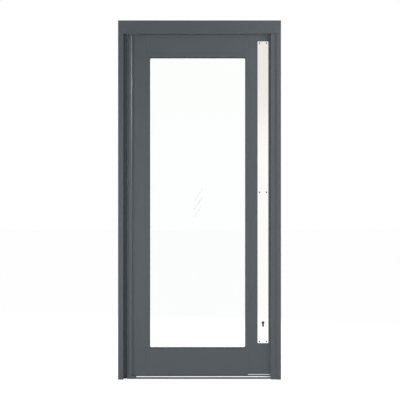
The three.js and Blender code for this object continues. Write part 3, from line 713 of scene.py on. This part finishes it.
class DOOR_OT_pivot_tube(DoorOperator, bpy.types.Operator):
    """Make the round tube that turns on the pivots, with its web to the stile"""

    bl_idname = "door.pivot_tube"
    bl_label = "Pivot tube"

    def execute(self, context):
        low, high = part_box("pivot_tube")
        radius = (high.y - low.y) / 2
        half_web = self.shapes(context).tube_web / 2
        axis = Vector((low.x + radius, 0, low.z))
        opening = math.asin(half_web / radius)
        shape = bmesh.new()
        start = shape.verts.new(
            axis + Vector((math.cos(opening) * radius, math.sin(opening) * radius, 0)))
        end = arc(shape, start, axis, 2 * (math.pi - opening), steps=96, axis=(0, 0, 1))
        web = [shape.verts.new((high.x, side * half_web, low.z)) for side in (1, -1)]
        for pair in ((start, web[0]), web, (web[1], end)):
            shape.edges.new(pair)
        ring(shape, axis, self.shapes(context).tube_bore, 72, level=True)
        fill_and_raise(shape, (0, 0, high.z - low.z))
        outside = radius - 0.01 * MM
        rims = [
            edge for edge in shape.edges
            if edge.is_manifold and edge.is_convex and edge.calc_face_angle() > SQUARE
            and abs(edge.verts[0].co.z - edge.verts[1].co.z) < SAME_LEVEL
            and math.hypot(edge.verts[0].co.x - axis.x, edge.verts[0].co.y) > outside
        ]
        bevel(shape, rims, 0.5 * MM, 2)
        add_piece("pivot_tube_round", shape, "tube_coat", "leaf", ["pivot_tube"],
                  slot="leaf_coat", crease=30)
        return {"FINISHED"}


class DOOR_OT_seals(DoorOperator, bpy.types.Operator):
    """Finish the finger guard and the glazing seals"""

    bl_idname = "door.seals"
    bl_label = "Guard and seals"

    def execute(self, context):
        add_eased("finger_guard", 0.5 * MM, "guard_rubber", "Z", sharper=35)
        for node in ("gasket_outer", "gasket_inner"):
            add_eased(node, 0.9 * MM, "seal_rubber", steps=3, shortest=1 * MM)
        return {"FINISHED"}


class DOOR_OT_threshold(DoorOperator, bpy.types.Operator):
    """Make the threshold with its grooved tread, and the leaf's wear strip"""

    bl_idname = "door.threshold"
    bl_label = "Threshold"

    def execute(self, context):
        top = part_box("threshold")[1].z
        half = self.shapes(context).tread_groove / 2
        depth = 0.4 * MM
        first, pitch = 8, 4  # millimetres from the middle, and from groove to groove
        places = [side * (first + pitch * step) * MM for side in (-1, 1) for step in range(4)]
        shape = bmesh.new()
        shape.from_mesh(frame["nodes"]["threshold"].data)
        weld(shape)
        for place in places:
            for edge in (place - half, place + half):
                bmesh.ops.bisect_plane(
                    shape, geom=everything(shape), dist=WELD,
                    plane_co=(0, edge, 0), plane_no=(0, 1, 0))
        strips = []
        for face in shape.faces:
            at = face.calc_center_median()
            on_top = all(abs(vert.co.z - top) < SAME_LEVEL for vert in face.verts)
            if on_top and any(abs(at.y - place) < half for place in places):
                strips.append(face)
        raise_faces(shape, strips, (0, 0, -depth))
        bmesh.ops.delete(shape, geom=strips, context="FACES")
        settle(shape)
        join_flats(shape)
        add_piece("threshold_grooved", shape, "mill_aluminium", "frame", ["threshold"], crease=20)
        add_eased("wear_strip", 0.3 * MM, "mill_aluminium", finish="strip_aluminium",
                  shortest=2 * MM)
        return {"FINISHED"}


class DOOR_OT_floor_pivot(DoorOperator, bpy.types.Operator):
    """Make the rounded floor block under the pivot tube"""

    bl_idname = "door.floor_pivot"
    bl_label = "Floor pivot"

    def execute(self, context):
        low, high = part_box("bottom_pivot_block")
        corner, top_edge = 12 * MM, 1.2 * MM
        shape = bmesh.new()
        bmesh.ops.create_grid(shape, x_segments=1, y_segments=1, size=0.5)
        bmesh.ops.scale(shape, verts=shape.verts, vec=(high.x - low.x, high.y - low.y, 1))
        bmesh.ops.translate(
            shape, verts=shape.verts, vec=((low.x + high.x) / 2, (low.y + high.y) / 2, low.z))
        bevel(shape, shape.verts[:], corner, 12, "VERTICES")
        raise_faces(shape, shape.faces[:], (0, 0, high.z - low.z))
        face_out(shape)
        rims = [
            edge for edge in shape.edges
            if all(abs(vert.co.z - high.z) < SAME_LEVEL for vert in edge.verts)]
        bevel(shape, rims, top_edge, 3)
        add_piece("bottom_pivot_block_rounded", shape, "leaf_coat", "frame",
                  ["bottom_pivot_block"])
        return {"FINISHED"}


class DOOR_OT_push_plates(DoorOperator, bpy.types.Operator):
    """Make the long push plates, holed for their screws and the lock cylinder"""

    bl_idname = "door.push_plates"
    bl_label = "Push plates"

    def execute(self, context):
        axis = middle("cylinder_plug")
        corner, screw_gap = 4 * MM, 0.35 * MM
        for side in ("outer", "inner"):
            low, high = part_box(f"push_plate_{side}")
            face, back = (low.y, high.y) if side == "outer" else (high.y, low.y)
            shape = bmesh.new()
            corner_panel(shape, low, high, face, corner)
            for number in range(1, 7):
                node = f"plate_screw_{side}_{number}"
                start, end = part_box(node)
                at = middle(node)
                ring(shape, (at.x, face, at.z), (end.x - start.x) / 2 + screw_gap, 32)
            cylinder_outline(
                shape, axis, face, radius=9 * MM, stem=5.5 * MM, drop=20.7 * MM)
            fill_and_raise(shape, (0, back - face, 0))
            inside = 3.5 * MM
            rim = outer_rim(shape, face, lambda at: not (
                low.x + inside < at.x < high.x - inside
                and low.z + inside < at.z < high.z - inside))
            bevel(shape, rim, self.shapes(context).plate_edge, 3)
            add_piece(f"push_plate_{side}_brushed", shape, "stainless", "leaf",
                      [f"push_plate_{side}"])
        return {"FINISHED"}


class DOOR_OT_screws(DoorOperator, bpy.types.Operator):
    """Make every countersunk screw head with its cross recess"""

    bl_idname = "door.screws"
    bl_label = "Screws"

    def execute(self, context):
        turns = {
            "outer": Matrix.Identity(4),
            "inner": Matrix.Rotation(math.pi, 4, "Z"),
            "up": Matrix.Rotation(-math.pi / 2, 4, "X"),
            "left": Matrix.Rotation(-math.pi / 2, 4, "Z"),
        }
        placed = [
            (f"plate_screw_{side}_{number}", side, "dark_steel")
            for side in ("outer", "inner") for number in range(1, 7)
        ]
        placed += [(f"threshold_screw_{number}", "up", "zinc_steel") for number in (1, 2)]
        placed += [(f"strike_screw_{end}", "left", "zinc_steel") for end in ("lower", "upper")]
        reach = self.shapes(context).recess_reach
        widest = 9 * MM
        chance = random.Random(7)
        for node, facing, finish in placed:
            low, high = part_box(node)
            across = sorted(high - low)[1]
            radius = min(across, widest) / 2
            shape = screw_head(radius, reach=min(reach, radius * 0.56), depth=radius * 0.6)
            turn = turns[facing] @ Matrix.Rotation(chance.uniform(0, math.pi / 2), 4, "Y")
            at = middle(node)
            face = {
                "outer": (at.x, low.y, at.z), "inner": (at.x, high.y, at.z),
                "up": (at.x, at.y, high.z), "left": (low.x, at.y, at.z),
            }[facing]
            bmesh.ops.transform(
                shape, matrix=Matrix.Translation(face) @ turn, verts=shape.verts)
            add_piece(f"{node}_head", shape, finish, BODY_OF[node], [node], crease=30)
        return {"FINISHED"}


class DOOR_OT_lock(DoorOperator, bpy.types.Operator):
    """Make the lock's forend, bolt, cylinder and thumbturn, and the strike plate"""

    bl_idname = "door.lock"
    bl_label = "Lock"

    def execute(self, context):
        for node in ("lock_forend", "strike_plate"):
            add_eased(node, 0.3 * MM, "stainless", finish="satin_steel")
        add_eased("deadbolt", 0.8 * MM, "zinc_steel")
        self.add_cylinder()
        self.add_plug()
        self.add_thumbturn()
        return {"FINISHED"}

    def add_cylinder(self):
        """Two half cylinders, with the cam's slot between them over a narrow bridge."""
        low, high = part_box("cylinder_body")
        axis = middle("cylinder_plug")
        plug_low, plug_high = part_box("cylinder_plug")
        cam_low, cam_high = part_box("cylinder_cam")
        plug_gap, cam_gap, edge = 0.2 * MM, 0.6 * MM, 0.35 * MM
        shape = bmesh.new()
        for start, end in ((low.y, cam_low.y - cam_gap), (high.y, cam_high.y + cam_gap)):
            half = bmesh.new()
            cylinder_outline(half, axis, start, radius=8.5 * MM, stem=5 * MM, drop=19.5 * MM)
            ring(half, (axis.x, start, axis.z), (plug_high.x - plug_low.x) / 2 + plug_gap, 48)
            fill_and_raise(half, (0, end - start, 0))
            bevel(half, outer_rim(half, start, lambda at: True), edge, 2)
            pour(half, shape)
        bridge = (9.4 * MM, cam_high.y - cam_low.y + 3 * MM, 4 * MM)
        bridge_rise = 2.2 * MM
        add_block(shape, bridge, (axis.x, 0, low.z + bridge_rise))
        add_piece("cylinder_body_turned", shape, "dark_steel", "leaf", ["cylinder_body"])

    def add_plug(self):
        """The round plug, with its keyway sunk in the outer end."""
        low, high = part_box("cylinder_plug")
        axis = middle("cylinder_plug")
        radius = (high.x - low.x) / 2
        key_depth = 9 * MM
        shape = bmesh.new()
        ring(shape, (axis.x, low.y, axis.z), radius, 48)
        keyway = [(-1.1, -4.5), (1.1, -4.5), (1.1, -1.6), (0.4, -1.2), (0.4, 0.6), (1.1, 1.0),
                  (1.1, 4), (-1.1, 4), (-1.1, 2.2), (-0.4, 1.8), (-0.4, -0.2), (-1.1, -0.6)]
        slot = closed_loop(shape, [
            shape.verts.new((axis.x + x * MM, low.y, axis.z + z * MM)) for x, z in keyway])
        rim = [edge for edge in shape.edges if edge not in slot]
        bmesh.ops.triangle_fill(shape, use_beauty=True, edges=list(shape.edges))
        sunk = extrude_edges(shape, slot)
        bmesh.ops.translate(shape, verts=sunk, vec=(0, key_depth, 0))
        bmesh.ops.contextual_create(shape, geom=edges_between(shape, sunk))
        walls = extrude_edges(shape, rim)
        bmesh.ops.translate(shape, verts=walls, vec=(0, high.y - low.y, 0))
        bmesh.ops.contextual_create(shape, geom=edges_between(shape, walls))
        face_out(shape)
        add_piece("cylinder_plug_keyed", shape, "dark_steel", "cylinder_rotor",
                  ["cylinder_plug"])

    def add_thumbturn(self):
        """A turned neck that flares to a collar, and a disc cut to a flat grip."""
        low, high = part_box("thumbturn")
        axis = middle("cylinder_plug")
        wide = (high.z - low.z) / 2
        neck, half_grip, grip_length, overlap = 6.3 * MM, 5 * MM, 13 * MM, 0.3 * MM
        end = high.y
        grip_start = end - grip_length
        flare_start, flare_end = grip_start - 4.5 * MM, grip_start - 1.5 * MM
        shape = bmesh.new()
        profile = [(0, low.y), (neck, low.y), (neck, flare_start),
                   (wide, flare_end), (wide, grip_start), (0, grip_start)]
        points = [shape.verts.new((axis.x + r, y, axis.z)) for r, y in profile]
        lines = [shape.edges.new(pair) for pair in zip(points, points[1:])]
        bmesh.ops.spin(
            shape, geom=points + lines, cent=(axis.x, 0, axis.z), axis=(0, 1, 0),
            angle=2 * math.pi, steps=64, use_merge=True, use_duplicate=False)
        weld(shape)
        face_out(shape)
        ease_edges(shape, 0.4 * MM, shortest=0.2 * MM, sharper=40)

        grip = bmesh.new()
        ring(grip, (axis.x, grip_start - overlap, axis.z), wide, 96)
        fill_and_raise(grip, (0, end - grip_start + overlap, 0))
        for side in (-1, 1):
            cut = bmesh.ops.bisect_plane(
                grip, geom=everything(grip), dist=WELD,
                plane_co=(axis.x + side * half_grip, 0, 0), plane_no=(side, 0, 0),
                clear_outer=True)
            edges = [part for part in cut["geom_cut"] if isinstance(part, bmesh.types.BMEdge)]
            bmesh.ops.contextual_create(grip, geom=edges)
        join_flats(grip)
        face_out(grip)
        ease_edges(grip, 0.9 * MM, steps=3, shortest=0.2 * MM, sharper=50)
        pour(grip, shape)
        add_piece("thumbturn_turned", shape, "satin_steel", "cylinder_rotor", ["thumbturn"],
                  slot="stainless", crease=35)


class DOOR_OT_glass(DoorOperator, bpy.types.Operator):
    """Finish the two panes and lay three painted glint strokes on the outer one"""

    bl_idname = "door.glass"
    bl_label = "Glass"

    def execute(self, context):
        for node in ("glass_outer_pane", "glass_inner_pane"):
            add_eased(node, 0.5 * MM, "clear_glass", steps=1)
        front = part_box("glass_outer_pane")[0].y
        # The three strokes are painted reflection glints, drawn as a thin grey layer on the pane.
        # Each from its lower end to its upper end, across and up, in millimetres.
        strokes = [(-32.3, 1097.2, 20.2, 1173.8), (-34.7, 1041.7, 22.1, 1125.1),
                   (-32.9, 999.1, 17.7, 1074.4)]
        width, corner, off_glass, thickness = 5.5 * MM, 2.2 * MM, 0.03 * MM, 0.05 * MM
        shape = bmesh.new()
        for x0, z0, x1, z1 in strokes:
            start = Vector((x0, 0, z0)) * MM
            end = Vector((x1, 0, z1)) * MM
            side = Vector((0, 1, 0)).cross((end - start).normalized()) * width / 2
            corners = [
                shape.verts.new(point + Vector((0, front - off_glass, 0)))
                for point in (start - side, end - side, end + side, start + side)]
            shape.faces.new(corners)
        bevel(shape, shape.verts[:], corner, 5, "VERTICES")
        raise_faces(shape, shape.faces[:], (0, -thickness, 0))
        face_out(shape)
        add_piece("glass_painted_glint_strokes", shape, "painted_glint_mark", "leaf", slot="clear_glass")
        return {"FINISHED"}


class DOOR_OT_brushes(DoorOperator, bpy.types.Operator):
    """Make the brush seals at the leaf's top, bottom and closing edge"""

    bl_idname = "door.brushes"
    bl_label = "Brushes"

    def execute(self, context):
        shapes = self.shapes(context)
        for node, along, out, past in (
            ("bottom_brush", 0, Vector((0, 0, -1)), 0.0),
            ("top_brush", 0, Vector((0, 0, 1)), 0.0),
            ("edge_brush", 2, Vector((1, 0, 0)), shapes.hair_past),
        ):
            self.add_brush(node, along, out, past, shapes.hair_pitch)
        return {"FINISHED"}

    def add_brush(self, node, along, out, past, pitch):
        """A backing strip with a thin fin along its middle and tufts on both sides of it."""
        low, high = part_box(node)
        high += out * past
        whole, centre = high - low, (low + high) / 2
        chance = random.Random(node)
        most_bend, row_gap, fin = 0.06, 1.5 * MM, 0.4 * MM
        reach = abs(whole.dot(out))
        back = reach * 0.3
        rooted = back * 0.8
        length = reach - rooted
        foot = centre - out * (reach / 2 - rooted - length / 2)
        run = high[along] - low[along]
        copies = round(run / (TUFTS_IN_A_RUN * pitch))
        step = Vector((0, 0, 0))
        step[along] = run / copies
        lean = out.to_track_quat("Z", "Y").to_matrix().to_4x4()
        shape = bmesh.new()
        for row in (-1, 0, 1):
            for number in range(TUFTS_IN_A_RUN):
                place = (number + 0.5 + row * 0.3) * step[along] / TUFTS_IN_A_RUN
                root = foot + Vector((0, row * row_gap, 0))
                root[along] = low[along] + place
                bend = Matrix.Rotation(chance.uniform(-most_bend, most_bend), 4, "X")
                bmesh.ops.create_cone(
                    shape, cap_ends=False, segments=4, radius1=0.55 * MM, radius2=0.3 * MM,
                    depth=length * 0.98, matrix=Matrix.Translation(root) @ lean @ bend)
        tufts = everything(shape)
        for number in range(1, copies):
            copied = bmesh.ops.duplicate(shape, geom=tufts)["geom"]
            bmesh.ops.translate(shape, verts=verts_in(copied), vec=step * number)
        for deep, thick in ((back, whole.y), (reach, fin)):
            size = Vector([deep if abs(out[axis]) > 0.5 else whole[axis] for axis in range(3)])
            size.y = thick
            add_block(shape, size, centre - out * (reach - deep) / 2)
        add_piece(f"{node}_tufts", shape, "brush_pile", "leaf", [node])


class DOOR_OT_stage(DoorOperator, bpy.types.Operator):
    """Set up the floor, the soft lights, the pale surroundings and the camera"""

    bl_idname = "door.stage"
    bl_label = "Stage"

    def execute(self, context):
        stage = context.scene.door_stage
        self.add_floor()
        self.add_lights(stage)
        self.add_surroundings(context.scene, stage)
        self.add_camera(context.scene, stage)
        context.scene.view_settings.view_transform = "Standard"
        return {"FINISHED"}

    def add_floor(self):
        """A wide floor, just clear of the threshold's underside."""
        half_width, gap = 30, 0.5 * MM
        shape = bmesh.new()
        bmesh.ops.create_grid(shape, x_segments=1, y_segments=1, size=half_width)
        bmesh.ops.translate(shape, verts=shape.verts, vec=(0, 0, -gap))
        mesh = bpy.data.meshes.new("floor")
        shape.to_mesh(mesh)
        shape.free()
        floor = in_scene("floor", mesh)
        mesh.materials.append(self.floor_paint())
        floor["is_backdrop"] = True

    def floor_paint(self):
        """Pale paint that reads white in the view and still takes a shadow."""
        paint = bpy.data.materials.new("floor_paint")
        paint.use_nodes = True
        tree = paint.node_tree
        tree.nodes.remove(tree.nodes["Principled BSDF"])
        plain = add_node(tree, "BsdfDiffuse", "BSDF", {"Color": (0.8, 0.8, 0.78, 1)})
        glow = add_node(tree, "Emission", "Emission", {"Color": (1, 1, 1, 1), "Strength": 1.13})
        shadow_share = 0.15
        seen = mix_shaders(tree, shadow_share, glow, plain)
        looking = any_ray(tree, "Is Camera Ray", "Is Glossy Ray", "Is Transmission Ray")
        chosen = mix_shaders(tree, looking, plain, seen)
        tree.links.new(chosen, tree.nodes["Material Output"].inputs["Surface"])
        return paint

    def add_lights(self, stage):
        """Large soft panels, each given by its place, its aim, its width and its height.

        The two at the upper right are cool. Only the glint light shows in the metal, and it
        lights nothing else."""
        cool = ("side_light", "glint_light")
        panels = (
            ("key_light", stage.key_light, (-0.85, -2.8, 0.85), (-0.1, 0, 0.6), 0.95, 1.2),
            ("fill_light", stage.fill_light, (1.3, -2.4, 0.3), (0, 0, 0.6), 1.6, 1.2),
            ("side_light", stage.side_light, (1.3, -0.7, 2.05), (-0.1, 0, 2.0), 0.9, 0.7),
            ("glint_light", stage.glint_light, (2.2, -1.15, 2.1), (-0.4, 0, 2.0), 1.2, 0.2),
            ("back_light", stage.back_light, (0.9, 2.8, 1.4), (0, 0, 1.1), 1.6, 1.2),
        )
        for name, power, at, towards, across, tall in panels:
            panel = bpy.data.lights.new(name, "AREA")
            panel.shape = "RECTANGLE"
            panel.energy = power
            panel.color = (0.9, 0.96, 1.0) if name in cool else (1, 1, 1)
            panel.size = across
            panel.size_y = tall
            lamp = in_scene(name, panel)
            lamp.location = at
            aim = Vector(towards) - Vector(at)
            lamp.rotation_euler = aim.to_track_quat("-Z", "Y").to_euler()
            lamp.visible_glossy = name == "glint_light"
            lamp.visible_diffuse = name != "glint_light"
            lamp.visible_transmission = False

    def add_surroundings(self, scene, stage):
        """White behind the door and even light on it.

        What the metal mirrors is white low down, dimmer and warm above that, and bright
        overhead."""
        world = bpy.data.worlds.new("pale_room")
        scene.world = world
        world.use_nodes = True
        tree = world.node_tree
        even = tree.nodes["Background"]
        even.inputs["Color"].default_value = (1, 1, 1, 1)
        even.inputs["Strength"].default_value = stage.room_light
        tones = tree.nodes.new("ShaderNodeValToRGB")
        bands = (
            (0.0, (1.0, 1.0, 1.0)),
            (0.078, (1.0, 1.0, 1.0)),
            (0.092, (0.87, 0.82, 0.76)),
            (0.34, (0.84, 0.81, 0.76)),
            (0.5, (0.88, 0.87, 0.86)),
            (0.85, (1.3, 1.3, 1.3)),
        )
        steps = tones.color_ramp.elements
        for step, (position, colour) in enumerate(bands):
            band = steps[step] if step < 1 else steps.new(position)
            band.position = position
            band.color = (*colour, 1)
        steps.remove(steps[-1])
        direction = add_node(tree, "TexCoord", "Generated")
        height = add_node(tree, "SeparateXYZ", "Z", {"Vector": direction})
        tree.links.new(height, tones.inputs["Fac"])
        mirrored = add_node(tree, "Background", "Background", {"Color": tones.outputs["Color"]})
        white = add_node(tree, "Background", "Background", {"Color": (1, 1, 1, 1)})
        lit = mix_shaders(
            tree, any_ray(tree, "Is Glossy Ray"), even.outputs["Background"], mirrored)
        looking = any_ray(tree, "Is Camera Ray", "Is Transmission Ray")
        seen = mix_shaders(tree, looking, lit, white)
        tree.links.new(seen, tree.nodes["World Output"].inputs["Surface"])

    def add_camera(self, scene, stage):
        """A camera that looks straight at the door, level with its middle."""
        low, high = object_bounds()
        camera = bpy.data.cameras.new("camera")
        camera.lens = stage.lens
        camera.sensor_width = 36
        viewer = in_scene("camera", camera)
        viewer.location = (
            stage.view_offset, low[1] - stage.view_distance, (low[2] + high[2]) / 2)
        viewer.rotation_euler = (math.pi / 2, 0, 0)
        scene.camera = viewer


STEPS = (
    DOOR_OT_finishes,
    DOOR_OT_frame,
    DOOR_OT_leaf,
    DOOR_OT_pivot_tube,
    DOOR_OT_seals,
    DOOR_OT_threshold,
    DOOR_OT_floor_pivot,
    DOOR_OT_push_plates,
    DOOR_OT_screws,
    DOOR_OT_lock,
    DOOR_OT_glass,
    DOOR_OT_brushes,
    DOOR_OT_stage,
)


class DOOR_PT_panel(bpy.types.Panel):
    """Sidebar panel that lists the door's steps and sizes"""

    bl_label = "Glazed entrance door"
    bl_space_type = "VIEW_3D"
    bl_region_type = "UI"
    bl_category = "Door"

    def draw(self, context):
        layout = self.layout
        for step in STEPS:
            layout.operator(step.bl_idname)
        for group in ("door_finishes", "door_shapes", "door_stage"):
            settings = getattr(context.scene, group)
            box = layout.box()
            for name in settings.__annotations__:
                box.prop(settings, name)


CLASSES = (DoorFinishes, DoorShapes, DoorStage, *STEPS, DOOR_PT_panel)


def register():
    for cls in CLASSES:
        bpy.utils.register_class(cls)
    bpy.types.Scene.door_finishes = bpy.props.PointerProperty(type=DoorFinishes)
    bpy.types.Scene.door_shapes = bpy.props.PointerProperty(type=DoorShapes)
    bpy.types.Scene.door_stage = bpy.props.PointerProperty(type=DoorStage)


def unregister():
    del bpy.types.Scene.door_stage
    del bpy.types.Scene.door_shapes
    del bpy.types.Scene.door_finishes
    for cls in reversed(CLASSES):
        bpy.utils.unregister_class(cls)


def main():
    register()
    for step in STEPS:
        group, name = step.bl_idname.split(".")
        getattr(getattr(bpy.ops, group), name)()


if __name__ == "__main__":
    main()
